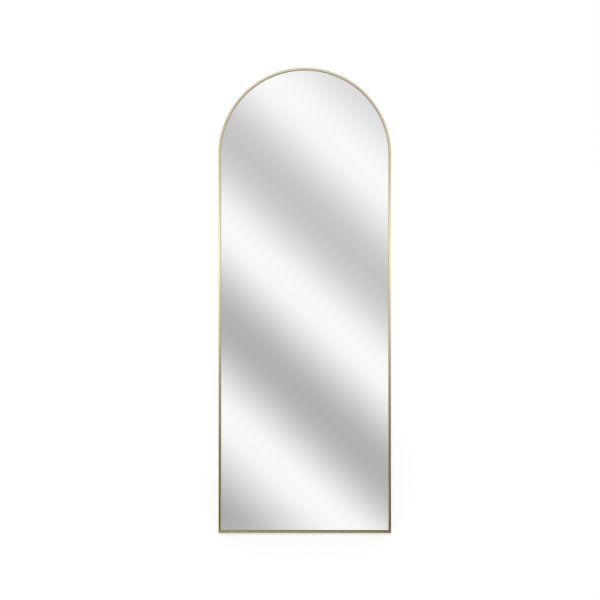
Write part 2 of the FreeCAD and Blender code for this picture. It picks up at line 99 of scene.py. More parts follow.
# ---------------------------------------------------------------- shapes of the small parts
WELD = 0.000001
LATHE_SIDES = 48
SCREW_HEAD_HEIGHT = 2.4 / 3.6             # as shares of the head's radius
SCREW_SHANK = 1.75 / 3.6
SCREW_SPIN = 37                           # degrees from one screw's recess to the next one's
RECESS_STATIONS = [(0.5, 0.62, 0.17),     # height as a share of the recess's depth, and its arms'
                   (0.0, 0.56, 0.15),     # reach and half width as shares of the head's radius
                   (-1.0, 0.22, 0.09)]
PIN_HEAD_HEIGHT = 2.2 / 4.6               # as shares of the head's radius
PIN_STEM = 2.5 / 4.6
SLEEVE_BORE = 6.05 / 7.5                  # as a share of the sleeve's radius
SLEEVE_SIDES = 64
SLEEVE_GROOVES = 9
PAD_RIBS = 16
PAD_GROOVE = 0.0007
CREASE = 35.0                             # an edge that turns by more degrees than this looks sharp
SCREW_CREASE = 32.0
PAD_CREASE = 20.0

# ---------------------------------------------------------------- the photograph's framing
PHOTO_SIZE = 600                          # pixels
OUTLINE_TOP = 67.65                       # where the mirror's outline lies in it, in pixels
OUTLINE_BOTTOM = 533.0
OUTLINE_MIDDLE_X = 304.8
OUTLINE_MIDDLE_Y = (OUTLINE_TOP + OUTLINE_BOTTOM) / 2
PIXEL = (TOP_S - BOTTOM_S) / (OUTLINE_BOTTOM - OUTLINE_TOP)      # metres on the mirror
CAMERA_DISTANCE = 2.4                     # metres from the frame's front
SENSOR = 36.0                             # millimetres
CLIP_END = 100


def add_camera():
    """Looks square at the mirror's face, which keeps the outline's long sides parallel."""
    data = bpy.data.cameras.new("camera")
    data.sensor_width = SENSOR
    data.lens = SENSOR * CAMERA_DISTANCE / (PHOTO_SIZE * PIXEL)
    data.clip_end = CLIP_END
    camera = bpy.data.objects.new("camera", data)
    aside = -(OUTLINE_MIDDLE_X - PHOTO_SIZE / 2) * PIXEL
    above = (OUTLINE_MIDDLE_Y - PHOTO_SIZE / 2) * PIXEL
    place = at(aside, MIDDLE_S + above, FRONT_N + CAMERA_DISTANCE)
    turn = Matrix((RIGHT, UP, OUT)).transposed().to_4x4()
    camera.matrix_world = Matrix.Translation(place) @ turn
    bpy.context.scene.collection.objects.link(camera)
    bpy.context.scene.camera = camera


# ---------------------------------------------------------------- node helpers
def rgb(red, green, blue):
    return (red, green, blue, 1.0)


def grey(level):
    return rgb(level, level, level)


class Graph:
    """Adds nodes to a node tree. A value may be a number, a colour or another node's socket."""

    def __init__(self, tree):
        self.tree = tree

    def put(self, socket, value):
        if isinstance(value, bpy.types.NodeSocket):
            self.tree.links.new(value, socket)
        else:
            socket.default_value = value

    def node(self, kind, inputs=(), **settings):
        made = self.tree.nodes.new("ShaderNode" + kind)
        for name, value in settings.items():
            setattr(made, name, value)
        for key, value in dict(inputs).items():
            self.put(made.inputs[key], value)
        return made

    def math(self, operation, *values):
        return self.node("Math", enumerate(values), operation=operation).outputs[0]

    def times(self, first, *others):
        for other in others:
            first = self.math("MULTIPLY", first, other)
        return first

    def weighted(self, *pairs):
        """The sum of each pair's value and weight multiplied."""
        parts = [self.times(value, weight) for value, weight in pairs]
        total = parts[0]
        for part in parts[1:]:
            total = self.math("ADD", total, part)
        return total

    def dot(self, vector, direction):
        made = self.node("VectorMath", {0: vector, 1: tuple(direction)}, operation="DOT_PRODUCT")
        return made.outputs["Value"]

    def stretch(self, vector, scale):
        return self.node("VectorMath", {0: vector, 1: scale}, operation="MULTIPLY").outputs[0]

    def join(self, x, y, z):
        return self.node("CombineXYZ", {0: x, 1: y, 2: z}).outputs[0]

    def noise(self, vector, scale, detail=2.0, roughness=0.5):
        inputs = {"Vector": vector, "Scale": scale, "Detail": detail, "Roughness": roughness}
        return self.node("TexNoise", inputs).outputs["Fac"]

    def streaks(self, vector, scales, detail=2.0, roughness=0.5):
        """Noise with a scale of its own along each axis."""
        return self.noise(self.stretch(vector, scales), 1.0, detail, roughness)

    def spots(self, vector, scale):
        return self.node("TexVoronoi", {"Vector": vector, "Scale": scale}, feature="F1").outputs["Distance"]

    def span(self, value, ends, levels=(0.0, 1.0)):
        """Goes from the first level to the second as the value goes from the first end to the second."""
        inputs = {0: value, 1: ends[0], 2: ends[1], 3: levels[0], 4: levels[1]}
        return self.node("MapRange", inputs).outputs[0]

    def mix(self, factor, first, second):
        """From the first colour to the second; these sockets' numbers are the Mix node's colour ones."""
        return self.node("Mix", {0: factor, 6: first, 7: second}, data_type="RGBA").outputs[2]

    def facing(self):
        """From 0 where a surface is seen square on to 1 where it is seen edge on."""
        return self.node("LayerWeight", {"Blend": 0.5}).outputs["Facing"]

    def coordinates(self, kind):
        return self.node("TexCoord").outputs[kind]

    def rays(self):
        return self.node("LightPath").outputs


def new_material(name):
    """A material, its node graph, its Principled shader and the object's own coordinates."""
    material = bpy.data.materials.new(name)
    material.use_nodes = True
    graph = Graph(material.node_tree)
    shader = material.node_tree.nodes["Principled BSDF"]
    return material, graph, shader, graph.coordinates("Object")


def set_plain(shader, **values):
    for name, value in values.items():
        shader.inputs[name.replace("_", " ")].default_value = value


def surface(graph, shader, colour, roughness, height=None, depth=0.0, **plain):
    """Connects what varies over a surface, its bumps as a height and their depth, and sets what doesn't."""
    graph.put(shader.inputs["Base Color"], colour)
    graph.put(shader.inputs["Roughness"], roughness)
    if height is not None:
        bump = graph.node("Bump", {"Height": height, "Distance": depth, "Strength": 1.0})
        graph.put(shader.inputs["Normal"], bump.outputs[0])
    set_plain(shader, **plain)


# ---------------------------------------------------------------- materials
# Pairs are the darker and the lighter tone of one surface.
CHAMPAGNE = rgb(0.81, 0.65, 0.34), rgb(0.87, 0.71, 0.40)
SILVERING = rgb(0.955, 0.957, 0.956), rgb(0.965, 0.966, 0.965)
BOARD = rgb(0.27, 0.175, 0.10), rgb(0.47, 0.335, 0.205)
BOARD_SPECK = rgb(0.20, 0.125, 0.07)
BLACK_RUBBER = rgb(0.022, 0.022, 0.023), rgb(0.04, 0.04, 0.041)
CLEAR_RUBBER = rgb(0.70, 0.71, 0.71), rgb(0.78, 0.79, 0.79)
PLATING = rgb(0.58, 0.60, 0.63), rgb(0.70, 0.71, 0.72)
CASTING = rgb(0.36, 0.37, 0.385), rgb(0.5, 0.51, 0.52)
COATING = rgb(0.60, 0.49, 0.30), rgb(0.76, 0.63, 0.41)
FOAM = rgb(0.86, 0.86, 0.85), rgb(0.93, 0.93, 0.92)
FILM = rgb(0.70, 0.71, 0.72), rgb(0.80, 0.81, 0.81)


def along_the_frame(graph, place, straight_rail):
    """Coordinates that follow the frame: across it, through its depth, and along its run."""
    x = graph.dot(place, RIGHT)
    s = graph.math("SUBTRACT", graph.dot(place, UP), ARCH_S)
    depth = graph.dot(place, OUT)
    if straight_rail:
        return graph.join(s, depth, x)
    above = graph.math("MAXIMUM", s, 0.0)
    across = graph.math("SQRT", graph.math("ADD", graph.times(x, x), graph.times(above, above)))
    turn = graph.math("ARCTAN2", above, graph.math("ABSOLUTE", x))
    along = graph.math("ADD", s, graph.times(turn, HALF_WIDTH))
    return graph.join(across, depth, along)


def across_the_frame(graph, place, straight_rail):
    """The direction across the brushing: up on the rail, sideways on the stiles, outward in the arch."""
    if straight_rail:
        return tuple(UP)
    x = graph.dot(place, RIGHT)
    above = graph.math("MAXIMUM", graph.math("SUBTRACT", graph.dot(place, UP), ARCH_S), 0.0)
    upward = graph.node("VectorMath", {0: tuple(UP), "Scale": above}, operation="SCALE").outputs[0]
    return graph.node("VectorMath", {0: upward, 1: graph.join(x, 0.0, 0.0)}).outputs[0]


def champagne_metal(name, straight_rail=False):
    """Satin anodised aluminium, faintly brushed along its length."""
    material, graph, shader, place = new_material(name)
    run = along_the_frame(graph, place, straight_rail)
    brushing = graph.streaks(run, (5200.0, 5200.0, 26.0), detail=3.0, roughness=0.6)
    cloud = graph.streaks(run, (420.0, 420.0, 5.0))
    tone = graph.weighted((brushing, 0.45), (cloud, 0.55))
    surface(graph, shader, colour=graph.mix(graph.span(tone, (0.3, 0.7)), *CHAMPAGNE),
            roughness=graph.span(brushing, (0.2, 0.8), levels=(0.3, 0.4)), height=brushing, depth=0.000006,
            Metallic=1.0, Anisotropic=0.7, Coat_Weight=0.05, Coat_Roughness=0.2)
    graph.put(shader.inputs["Tangent"], across_the_frame(graph, place, straight_rail))
    return material


def mirror_silver():
    """Silvered float glass: sharp, with the very slight waviness of float glass."""
    material, graph, shader, place = new_material("silvered_glass")
    wave = graph.noise(graph.stretch(place, (1.0, 1.0, 0.6)), scale=3.0, detail=1.0)
    surface(graph, shader, colour=graph.mix(wave, *SILVERING), roughness=0.0, height=wave, depth=0.00004,
            Metallic=1.0)
    return material


def pressed_board():
    """Pressed fibreboard: short fibres lying every way, darker specks, a slightly cloudy tone."""
    material, graph, shader, place = new_material("fibreboard")
    fibres = graph.noise(place, scale=900.0, detail=4.0, roughness=0.7)
    upright = graph.streaks(place, (1400.0, 1400.0, 260.0), detail=3.0, roughness=0.65)
    cloud = graph.noise(place, scale=7.0, detail=3.0, roughness=0.55)
    tone = graph.weighted((fibres, 0.4), (upright, 0.3), (cloud, 0.3))
    base = graph.mix(graph.span(tone, (0.34, 0.66)), *BOARD)
    speck_edge = graph.span(graph.spots(place, scale=420.0), (0.05, 0.16))
    surface(graph, shader, colour=graph.mix(speck_edge, BOARD_SPECK, base),
            roughness=graph.span(fibres, (0.3, 0.7), levels=(0.62, 0.82)), height=tone, depth=0.00008)
    return material


def rubber(name, tones, **plain):
    """Moulded rubber with a fine grain."""
    material, graph, shader, place = new_material(name)
    grain = graph.noise(place, scale=1600.0, detail=3.0, roughness=0.6)
    cloud = graph.noise(place, scale=60.0)
    surface(graph, shader, colour=graph.mix(graph.span(cloud, (0.35, 0.65)), *tones),
            roughness=graph.span(grain, (0.3, 0.7), levels=(0.62, 0.8)), height=grain, depth=0.00004,
            **plain)
    return material


def plated_steel():
    """Bright zinc plating, faintly cloudy, with fine handling marks."""
    material, graph, shader, place = new_material("plated_steel")
    cloud = graph.noise(place, scale=220.0, detail=3.0, roughness=0.6)
    marks = graph.streaks(place, (2600.0, 2600.0, 340.0), roughness=0.6)
    surface(graph, shader, colour=graph.mix(graph.span(cloud, (0.35, 0.65)), *PLATING),
            roughness=graph.span(marks, (0.25, 0.75), levels=(0.24, 0.42)), height=marks, depth=0.00001,
            Metallic=1.0)
    return material


def cast_zinc():
    """Tumbled zinc casting: dull, fine-pitted."""
    material, graph, shader, place = new_material("cast_zinc")
    grain = graph.noise(place, scale=2400.0, detail=4.0, roughness=0.65)
    pits = graph.span(graph.spots(place, scale=1500.0), (0.0, 0.25))
    height = graph.times(grain, pits)
    surface(graph, shader, colour=graph.mix(graph.span(grain, (0.3, 0.7)), *CASTING),
            roughness=graph.span(height, (0.1, 0.7), levels=(0.6, 0.4)), height=height, depth=0.00006,
            Metallic=1.0)
    return material


def powder_coat():
    """Satin champagne powder coat with a fine orange peel."""
    material, graph, shader, place = new_material("stand_coating")
    peel = graph.noise(place, scale=620.0)
    flake = graph.noise(place, scale=5200.0, detail=1.0)
    surface(graph, shader, colour=graph.mix(graph.span(flake, (0.35, 0.65)), *COATING),
            roughness=graph.span(peel, (0.3, 0.7), levels=(0.38, 0.48)), height=peel, depth=0.00005,
            Metallic=0.85, Coat_Weight=0.4, Coat_Roughness=0.25)
    return material


def white_foam():
    """Closed-cell foam, its cells just visible."""
    material, graph, shader, place = new_material("foam")
    cells = graph.spots(place, scale=900.0)
    surface(graph, shader, colour=graph.mix(graph.span(cells, (0.1, 0.6)), *FOAM), roughness=0.85,
            height=cells, depth=0.0002)
    return material


def grey_film():
    """Smooth plastic film, faintly cloudy."""
    material, graph, shader, place = new_material("film")
    cloud = graph.noise(place, scale=40.0)
    surface(graph, shader, colour=graph.mix(cloud, *FILM), roughness=0.3)
    return material


def dress(materials):
    """Gives each carried-over node the material of its slot, and the rail the one brushed along it."""
    for entry in RECORD["subparts"]:
        node = entry["node"]
        slots = NODES[node].data.materials
        slots.clear()
        slots.append(materials["bottom_rail" if node == "bottom_rail" else entry["material_slot"]])


# ---------------------------------------------------------------- mesh helpers
def islands(node):
    """Lowest and highest (x, s, n) of each separate body inside a node."""
    mesh = bmesh.new()
    mesh.from_mesh(NODES[node].data)
    bmesh.ops.remove_doubles(mesh, verts=mesh.verts, dist=WELD)
    left = set(mesh.verts)
    found = []
    while left:
        group = [left.pop()]
        for vert in group:
            for edge in vert.link_edges:
                other = edge.other_vert(vert)
                if other in left:
                    left.remove(other)
                    group.append(other)
        places = np.array([[v.co.dot(RIGHT), v.co.dot(UP), v.co.dot(OUT)] for v in group])
        found.append((places.min(axis=0), places.max(axis=0)))
    mesh.free()
    return sorted(found, key=lambda ends: tuple(ends[0].round(5)))


def rod(node):
    """The middle, half length and radius of a round body that lies along RIGHT."""
    low, high = islands(node)[0]
    return (low + high) / 2, (high[X] - low[X]) / 2, (high[S] - low[S]) / 2


def aimed(place, direction):
    """A matrix that sets a shape's own Z along a direction, at a place in the shared frame."""
    return Matrix.Translation(place) @ direction.to_track_quat("Z", "Y").to_matrix().to_4x4()


def arc(centre, radii, degrees, steps):
    """Points on an arc of an ellipse, as (radius from the axis, height)."""
    start, end = degrees
    angles = [math.radians(start + (end - start) * step / steps) for step in range(steps + 1)]
    return [(centre[0] + radii[0] * math.cos(a), centre[1] + radii[1] * math.sin(a)) for a in angles]


def lathe(mesh, profile, matrix, sides=LATHE_SIDES, closed=False):
    """Turns a profile of (radius, height) points round Z. A zero radius closes it in a point, and a
    closed profile joins its own start."""
    turns = [2 * math.pi * k / sides for k in range(sides)]
    rings = []
    for radius, height in profile:
        if radius <= 0.0:
            rings.append([mesh.verts.new(matrix @ Vector((0, 0, height)))] * sides)
        else:
            circle = [Vector((radius * math.cos(a), radius * math.sin(a), height)) for a in turns]
            rings.append([mesh.verts.new(matrix @ point) for point in circle])
    for low, high in zip(rings, rings[1:] + rings[:1] if closed else rings[1:]):
        for k in range(sides):
            beside = (k + 1) % sides
            corners = list(dict.fromkeys([low[k], low[beside], high[beside], high[k]]))
            if len(corners) > 2:
                mesh.faces.new(corners)


def sweep(mesh, rings):
    """Joins rings of points, one after another, and closes both ends."""
    made = [[mesh.verts.new(point) for point in ring] for ring in rings]
    for first, second in zip(made, made[1:]):
        for k in range(len(first)):
            beside = (k + 1) % len(first)
            mesh.faces.new([first[k], first[beside], second[beside], second[k]])
    mesh.faces.new(made[0])
    mesh.faces.new(made[-1])


def object_of(mesh, name):
    """The object that a bmesh becomes, with its faces turned outward."""
    bmesh.ops.recalc_face_normals(mesh, faces=mesh.faces)
    data = bpy.data.meshes.new(name)
    mesh.to_mesh(data)
    mesh.free()
    made = bpy.data.objects.new(name, data)
    bpy.context.scene.collection.objects.link(made)
    return made


def add_piece(mesh, node, body, slot, materials, crease=CREASE):
    """A finer piece in a node's place, on its body, smooth except at its creases."""
    made = object_of(mesh, node + "_fine")
    made.data.shade_smooth()
    made.data.set_sharp_from_angle(angle=math.radians(crease))
    made.data.materials.append(materials[slot])
    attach(made, body)
    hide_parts(node)


# ---------------------------------------------------------------- frame and stand
def extrusion_section():
    """The frame's outline, as (distance in from its outer side, distance back from its front)."""
    depth = FRONT_N - BACK_N
    slope = BEVEL_DEPTH / BEVEL_WIDTH
    lip = FACE_FLAT + BEVEL_WIDTH
    foot = lip - LIP_FOOT
    break_inset = FACE_FLAT - (WALL * math.sqrt(1 + slope * slope) - WALL) / slope
    roof = depth - WALL
    side = CHANNEL_WIDTH - WALL
    slot = (WALL + side - SLOT_WIDTH) / 2
    glass = BEVEL_DEPTH + LIP_EDGE
    front_edge = arc((EDGE_RADIUS, EDGE_RADIUS), (EDGE_RADIUS, EDGE_RADIUS), (180, 270), EDGE_STEPS)
    return front_edge + [
        (FACE_FLAT, 0), (lip, BEVEL_DEPTH), (lip, glass), (foot, glass),
        (foot, WALL + (foot - break_inset) * slope), (break_inset, WALL), (WALL, WALL),
        (WALL, GROOVE_BACK), (CHANNEL_WIDTH, GROOVE_BACK), (CHANNEL_WIDTH, depth),
        (slot + SLOT_WIDTH, depth), (slot + SLOT_WIDTH, roof), (side, roof), (side, GROOVE_BACK + WALL),
        (WALL, GROOVE_BACK + WALL), (WALL, roof), (slot, roof), (slot, depth),
        (BACK_CHAMFER, depth), (0, depth - BACK_CHAMFER)]


def add_arched_frame(node, materials):
    """Both stiles and a smooth arch, swept from the extrusion's own section, with mitred ends."""
    section = [(inset, FRONT_N - back) for inset, back in extrusion_section()]
    rings = [[at(inset - HALF_WIDTH, BOTTOM_S + inset, n) for inset, n in section]]
    for step in range(ARCH_STEPS + 1):
        turn = math.pi * (1 - step / ARCH_STEPS)
        aside, rise = math.cos(turn), math.sin(turn)
        rings.append([at((HALF_WIDTH - inset) * aside, ARCH_S + (HALF_WIDTH - inset) * rise, n)
                      for inset, n in section])
    rings.append([at(HALF_WIDTH - inset, BOTTOM_S + inset, n) for inset, n in section])
    mesh = bmesh.new()
    sweep(mesh, rings)
    add_piece(mesh, node, "mirror", "frame_metal", materials)


def add_stand_tube(node, materials):
    """The round tube: two legs, two bends and the cross bar between them."""
    bar, hinge = [at(0, *rod(name)[0][S:]) for name in ("foot_sleeve_left", "hinge_pin_left")]
    rise = (hinge - bar).normalized()
    leg = rise * (extent([node], rise)[1] - bar.dot(rise))
    leg_x = extent([node], RIGHT)[1] - TUBE_RADIUS
    stations = [(bar + leg - RIGHT * leg_x, -RIGHT)]
    for side, start in ((-1, 180), (1, 270)):
        centre = bar + rise * TUBE_BEND + RIGHT * side * (leg_x - TUBE_BEND)
        for step in range(BEND_STEPS + 1):
            turn = math.radians(start + 90 * step / BEND_STEPS)
            outward = RIGHT * math.cos(turn) + rise * math.sin(turn)
            stations.append((centre + outward * TUBE_BEND, outward))
    stations.append((bar + leg + RIGHT * leg_x, RIGHT))
    across = RIGHT.cross(rise)
    turns = [2 * math.pi * k / TUBE_SIDES for k in range(TUBE_SIDES)]
    mesh = bmesh.new()
    sweep(mesh, [[place + (outward * math.cos(t) + across * math.sin(t)) * TUBE_RADIUS for t in turns]
                 for place, outward in stations])
    add_piece(mesh, node, "stand", "stand_coating", materials)


# ---------------------------------------------------------------- screws
def cross_recess(radius, depth):
    """The tapered cross that a driver leaves in a screw's head, its mouth a little above z = 0."""
    rings = []
    for height, reach, half in RECESS_STATIONS:
        corners = []
        for quarter in range(4):
            turn = Matrix.Rotation(quarter * math.pi / 2, 3, "Z")
            for x, y in ((reach, -half), (reach, half), (half, half)):
                corners.append(turn @ Vector((x * radius, y * radius, height * depth)))
        rings.append(corners)
    mesh = bmesh.new()
    sweep(mesh, rings)
    return object_of(mesh, "cross_recess")


def screw_shape(radius, height, shank_radius, shank_length):
    """A pan-head screw along Z with its crown at z = 0: a domed head, a cross recess, a threaded shank."""
    dome_radius = radius * 0.86
    dome_height = height * 0.45
    rim_radius = height * 0.35
    rim_depth = height * 0.62
    neck_radius = radius * 0.9
    recess_depth = height * 0.62
    pitch = shank_radius * 0.45
    root_radius = shank_radius * 0.78
    tip_radius = shank_radius * 0.7
    profile = [(0.0, 0.0)] + arc((0.0, -dome_height), (dome_radius, dome_height), (80, 18), 10)
    profile += arc((radius - rim_radius, -rim_depth), (rim_radius, rim_radius), (20, -60), 5)
    profile += [(neck_radius, -height), (shank_radius, -height)]
    start = -height - pitch
    count = int((shank_length - 3 * pitch) / pitch)
    for turn in range(count):
        profile.append((shank_radius, start - turn * pitch))
        profile.append((root_radius, start - (turn + 0.5) * pitch))
    profile += [(tip_radius, start - (count + 0.3) * pitch), (0.0, -height - shank_length)]
    mesh = bmesh.new()
    lathe(mesh, profile, Matrix.Identity(4))
    blank = object_of(mesh, "screw")
    cutter = cross_recess(radius, recess_depth)
    cut = blank.modifiers.new("recess", "BOOLEAN")
    cut.operation = "DIFFERENCE"
    cut.solver = "EXACT"
    cut.object = cutter
    shape = bpy.data.meshes.new_from_object(blank.evaluated_get(bpy.context.evaluated_depsgraph_get()))
    for temporary in (blank, cutter):
        bpy.data.objects.remove(temporary)
    return shape


def add_screws(node, along, outward, materials):
    """Screws in place of a node's. They lie along one of the axes X, S and N, and outward says, for a
    screw's middle on that axis, which way its head faces."""
    across = S if along == X else X
    direction = (RIGHT, UP, OUT)[along]
    mesh = bmesh.new()
    shape = None
    for turn, (low, high) in enumerate(islands(node)):
        crown = (low + high) / 2
        sign = outward(crown[along])
        crown[along] = high[along] if sign > 0 else low[along]
        if shape is None:
            radius = (high[across] - low[across]) / 2
            head = radius * SCREW_HEAD_HEIGHT
            shape = screw_shape(radius, head, radius * SCREW_SHANK, high[along] - low[along] - head)
        spin = Matrix.Rotation(math.radians(SCREW_SPIN * turn), 4, "Z")
        copy = shape.copy()
        copy.transform(aimed(at(*crown), direction * sign) @ spin)
        mesh.from_mesh(copy)
        bpy.data.meshes.remove(copy)
    add_piece(mesh, node, "mirror", "plated_steel", materials, SCREW_CREASE)


# ---------------------------------------------------------------- pins, sleeves, bumpers and pads
def add_pin(node, materials):
    """A riveted hinge pin: a domed head on the outer side, a smaller peened one on the inner side."""
    middle, half, radius = rod(node)
    seat = half - radius * PIN_HEAD_HEIGHT
    rise = half - seat
    stem = radius * PIN_STEM
    dome_foot = seat + rise * 0.3
    dome_height = rise * 0.7
    head = [(radius, seat), (radius, dome_foot)]
    head += arc((0.0, dome_foot), (radius, dome_height), (8, 84), 10) + [(0.0, half)]
    peened_base = radius * 0.86
    peened_rim = radius * 0.84
    peened_radius = radius * 0.82
    peened_foot = -seat - rise * 0.25
    peened_height = rise * 0.65
    dimple_radius = radius * 0.3
    dimple_edge = -seat - rise * 0.8
    dimple_floor = -seat - rise * 0.74
    peened = [(peened_base, -seat), (peened_rim, peened_foot)]
    peened += arc((0.0, peened_foot), (peened_radius, -peened_height), (10, 70), 6)
    peened += [(dimple_radius, dimple_edge), (0.0, dimple_floor)]
    outer_side = RIGHT if middle[X] > 0 else -RIGHT
    mesh = bmesh.new()
    lathe(mesh, peened[::-1] + [(stem, -seat), (stem, seat)] + head, aimed(at(*middle), outer_side))
    add_piece(mesh, node, "mirror", "plated_steel", materials)


def add_sleeve(node, materials):
    """A rubber sleeve with rolled ends and shallow grip grooves all round it."""
    middle, half, radius = rod(node)
    bore = radius * SLEEVE_BORE
    lip = (radius - bore) * 0.48
    root = radius - radius * 0.045        # at the bottom of the grooves
    grooved = half * 0.72                 # from the middle to the last groove
    floor = half * 0.028                  # half of a groove's bottom
    mouth = 2 * floor
    profile = [(bore, -half + lip)] + arc((bore + lip, -half + lip), (lip, lip), (180, 270), 4)
    profile += arc((radius - lip, -half + lip), (lip, lip), (270, 360), 5)
    for k in range(SLEEVE_GROOVES):
        z = -grooved + 2 * grooved * k / (SLEEVE_GROOVES - 1)
        profile += [(radius, z - mouth), (root, z - floor), (root, z + floor), (radius, z + mouth)]
    profile += arc((radius - lip, half - lip), (lip, lip), (0, 90), 5)
    profile += arc((bore + lip, half - lip), (lip, lip), (90, 180), 4)
    mesh = bmesh.new()
    lathe(mesh, profile, aimed(at(*middle), RIGHT), sides=SLEEVE_SIDES, closed=True)
    add_piece(mesh, node, "stand", "rubber", materials)


def add_bumpers(node, materials):
    """Soft domed bumpers on the frame's back, each on a thin round foot."""
    mesh = bmesh.new()
    for low, high in islands(node):
        radius = (high[X] - low[X]) / 2
        height = high[N] - low[N]
        foot = height * 0.14
        neck = foot * 1.1
        neck_radius = radius * 0.93
        dome_radius = radius * 0.9
        profile = [(0.0, 0.0), (radius, 0.0), (radius, foot), (neck_radius, neck)]
        profile += arc((0.0, neck), (dome_radius, height - neck), (6, 84), 10) + [(0.0, height)]
        seat = (low + high) / 2
        seat[N] = high[N]
        lathe(mesh, profile, aimed(at(*seat), -OUT))
    add_piece(mesh, node, "mirror", "clear_rubber", materials)


def add_pads(node, materials):
    """Wedge pads with a ribbed sole: the sole lies flat on the floor under the leaning rail."""
    mesh = bmesh.new()
    for low, high in islands(node):
        pitch = (high[X] - low[X]) / PAD_RIBS
        groove_end = pitch * 0.14
        rib_start = pitch * 0.26
        rib_end = pitch * 0.88
        rows = []
        for k in range(PAD_RIBS):
            start = low[X] + k * pitch
            cut = PAD_GROOVE if k > 0 else 0.0
            rows += [(start, cut), (start + groove_end, cut)]
            rows += [(start + rib_start, 0.0), (start + rib_end, 0.0)]
        rows.append((high[X], 0.0))
        rings = []
        for x, cut in rows:
            sole = [at(x, -n * math.tan(LEAN), n) + Vector((0, 0, cut)) for n in (low[N], high[N])]
            rings.append([at(x, high[S], high[N]), at(x, high[S], low[N])] + sole)
        sweep(mesh, rings)
    add_piece(mesh, node, "mirror", "clear_rubber", materials, PAD_CREASE)


# ---------------------------------------------------------------- studio
# Soft bands that the glass reflects, described as the camera sees them: sRGB levels and pixels.
BAND_ANGLE = math.radians(43.0)           # the bands run down to the right
BAND_PERIOD = 138.3
BAND_PEAK = 248.3
BAND_DEPTH = 62.0                         # of the trough at the middle
BAND_DEPTH_GROWTH = 0.137                 # per pixel down across the bands
BAND_DEPTH_LEAST = 34.0
BAND_DEPTH_MOST = 82.0
BAND_SLOWER_AFTER = 138.0                 # further down than this, the bands get wider
BAND_SLOWING = 0.22
BAND_LEAST_OUT = 0.3                      # directions nearer to the mirror's plane count as this far out
DISPLAY_WHITE = 255.0
DISPLAY_POWER = 2.25
SILVER = 0.96

# The room that surfaces reflect, as levels, and the directions between which they change.
SOFT_LIGHT = (0.72, 1.0)                  # on what isn't glossy, from the floor up
SOFT_LIGHT_CHANGE = (-0.1, 1.0)
DARK_ROOM = 0.16                          # in front of the mirror
BRIGHT_WALLS = 0.6                        # and to both sides of that
WALLS_CHANGE = (0.72, 0.97)
ROOM_BEHIND = (0.35, 0.8)                 # low down, and high up
ROOM_BEHIND_CHANGE = (-0.3, 0.5)
BEHIND_TO_FRONT = (-0.3, 0.05)
CEILING = (0.5, 0.02)                     # on the left, and on the right
CEILING_CHANGE = (-0.12, 0.03)
WALLS_TO_CEILING = (0.72, 0.9)

# A graded softbox in front of the mirror, which satin metal alone reflects.
WARM = (1.0, 1.0, 0.93)
COOL = (1.0, 1.12, 1.5)
SOFTBOX_DISTANCE = 0.6
SOFTBOX_WIDTH = 1.4
SOFTBOX_POWER = 1.5
SOFTBOX_REACH = 1.4                       # above and below the mirror's middle
SOFTBOX_STOPS = [(-0.03, 0.11, WARM),     # height up the mirror at which it shows, level and tint
                 (0.20, 0.15, WARM),
                 (0.50, 0.29, COOL),
                 (0.78, 0.62, COOL),
                 (1.0, 0.96, COOL),
                 (1.30, 0.54, COOL),
                 (1.65, 0.60, COOL)]
SOFTBOX_GLANCE = (0.25, 0.45)             # seen more edge on than this, it fades out

# The floor's tones. What blurred reflections see of it is painted light and shade: a bright painted pool
# just before the mirror's foot, a painted contact shadow at the foot, lighter on the left than on the
# right, darker near the stiles, and an even painted level behind. Distances are in metres before the
# mirror's foot, or to both sides of its middle.
FLOOR_REACH = 60.0
FLOOR_TONE = 0.31
FLOOR_LIFT = 0.67                         # what makes it white to the camera and in the glass
FLOOR_GLANCE = (0.72, 0.9)                # seen more edge on than this, the glass doesn't show it
FLOOR_PAINTED_LIGHT_IN_METAL = (0.78, 0.1)              # painted light seen in metal: close to the foot, and further out
FLOOR_PAINTED_LIGHT_IN_METAL_CHANGE = (0.02, 0.16)
FLOOR_PAINTED_LIGHT_ASIDE = (1.25, 0.7)                 # painted light: its share on the left, and on the right
FLOOR_PAINTED_CONTACT_SHADOW = (0.15, 1.0)               # painted contact shadow: its share in the dark line at the foot, and past it
FLOOR_PAINTED_CONTACT_SHADOW_CHANGE = (0.005, 0.04)
FLOOR_PAINTED_LIGHT_SIDES = (1.0, 0.25)                 # painted light's share in the middle, and near the stiles
FLOOR_PAINTED_LIGHT_SIDES_CHANGE = (0.25, 0.4)
# painted light that metal sees on the floor behind the mirror
FLOOR_PAINTED_LIGHT_BEHIND = 0.75
FLOOR_PAINTED_LIGHT_BEHIND_CHANGE = (-0.08, -0.03)

SUN_ENERGY = 1.1
SUN_ANGLE = 40                            # degrees
SUN_TURN = (38, 0, -6)


def band_light(graph, direction):
    """Brightness of the bands seen in a direction."""
    out = graph.math("MAXIMUM", graph.dot(direction, OUT), BAND_LEAST_OUT)
    aside = graph.math("DIVIDE", graph.dot(direction, RIGHT), out)
    above = graph.math("DIVIDE", graph.dot(direction, UP), out)
    pixels = CAMERA_DISTANCE / PIXEL
    x = graph.math("SUBTRACT", graph.times(aside, pixels), OUTLINE_MIDDLE_X - PHOTO_SIZE / 2)
    down = graph.math("ADD", graph.times(x, -math.sin(BAND_ANGLE)),
                      graph.times(above, -pixels * math.cos(BAND_ANGLE)))
    late = graph.math("MAXIMUM", graph.math("SUBTRACT", down, BAND_SLOWER_AFTER), 0.0)
    phase = graph.math("SUBTRACT", down, graph.times(late, BAND_SLOWING))
    wave = graph.math("COSINE", graph.times(phase, 2 * math.pi / BAND_PERIOD))
    dip = graph.math("MULTIPLY_ADD", wave, -0.5, 0.5)
    depth = graph.math("MULTIPLY_ADD", down, BAND_DEPTH_GROWTH, BAND_DEPTH)
    depth = graph.math("MINIMUM", graph.math("MAXIMUM", depth, BAND_DEPTH_LEAST), BAND_DEPTH_MOST)
    shown = graph.math("SUBTRACT", BAND_PEAK, graph.times(dip, depth))
    linear = graph.math("POWER", graph.math("DIVIDE", shown, DISPLAY_WHITE), DISPLAY_POWER)
    return graph.math("DIVIDE", linear, SILVER)


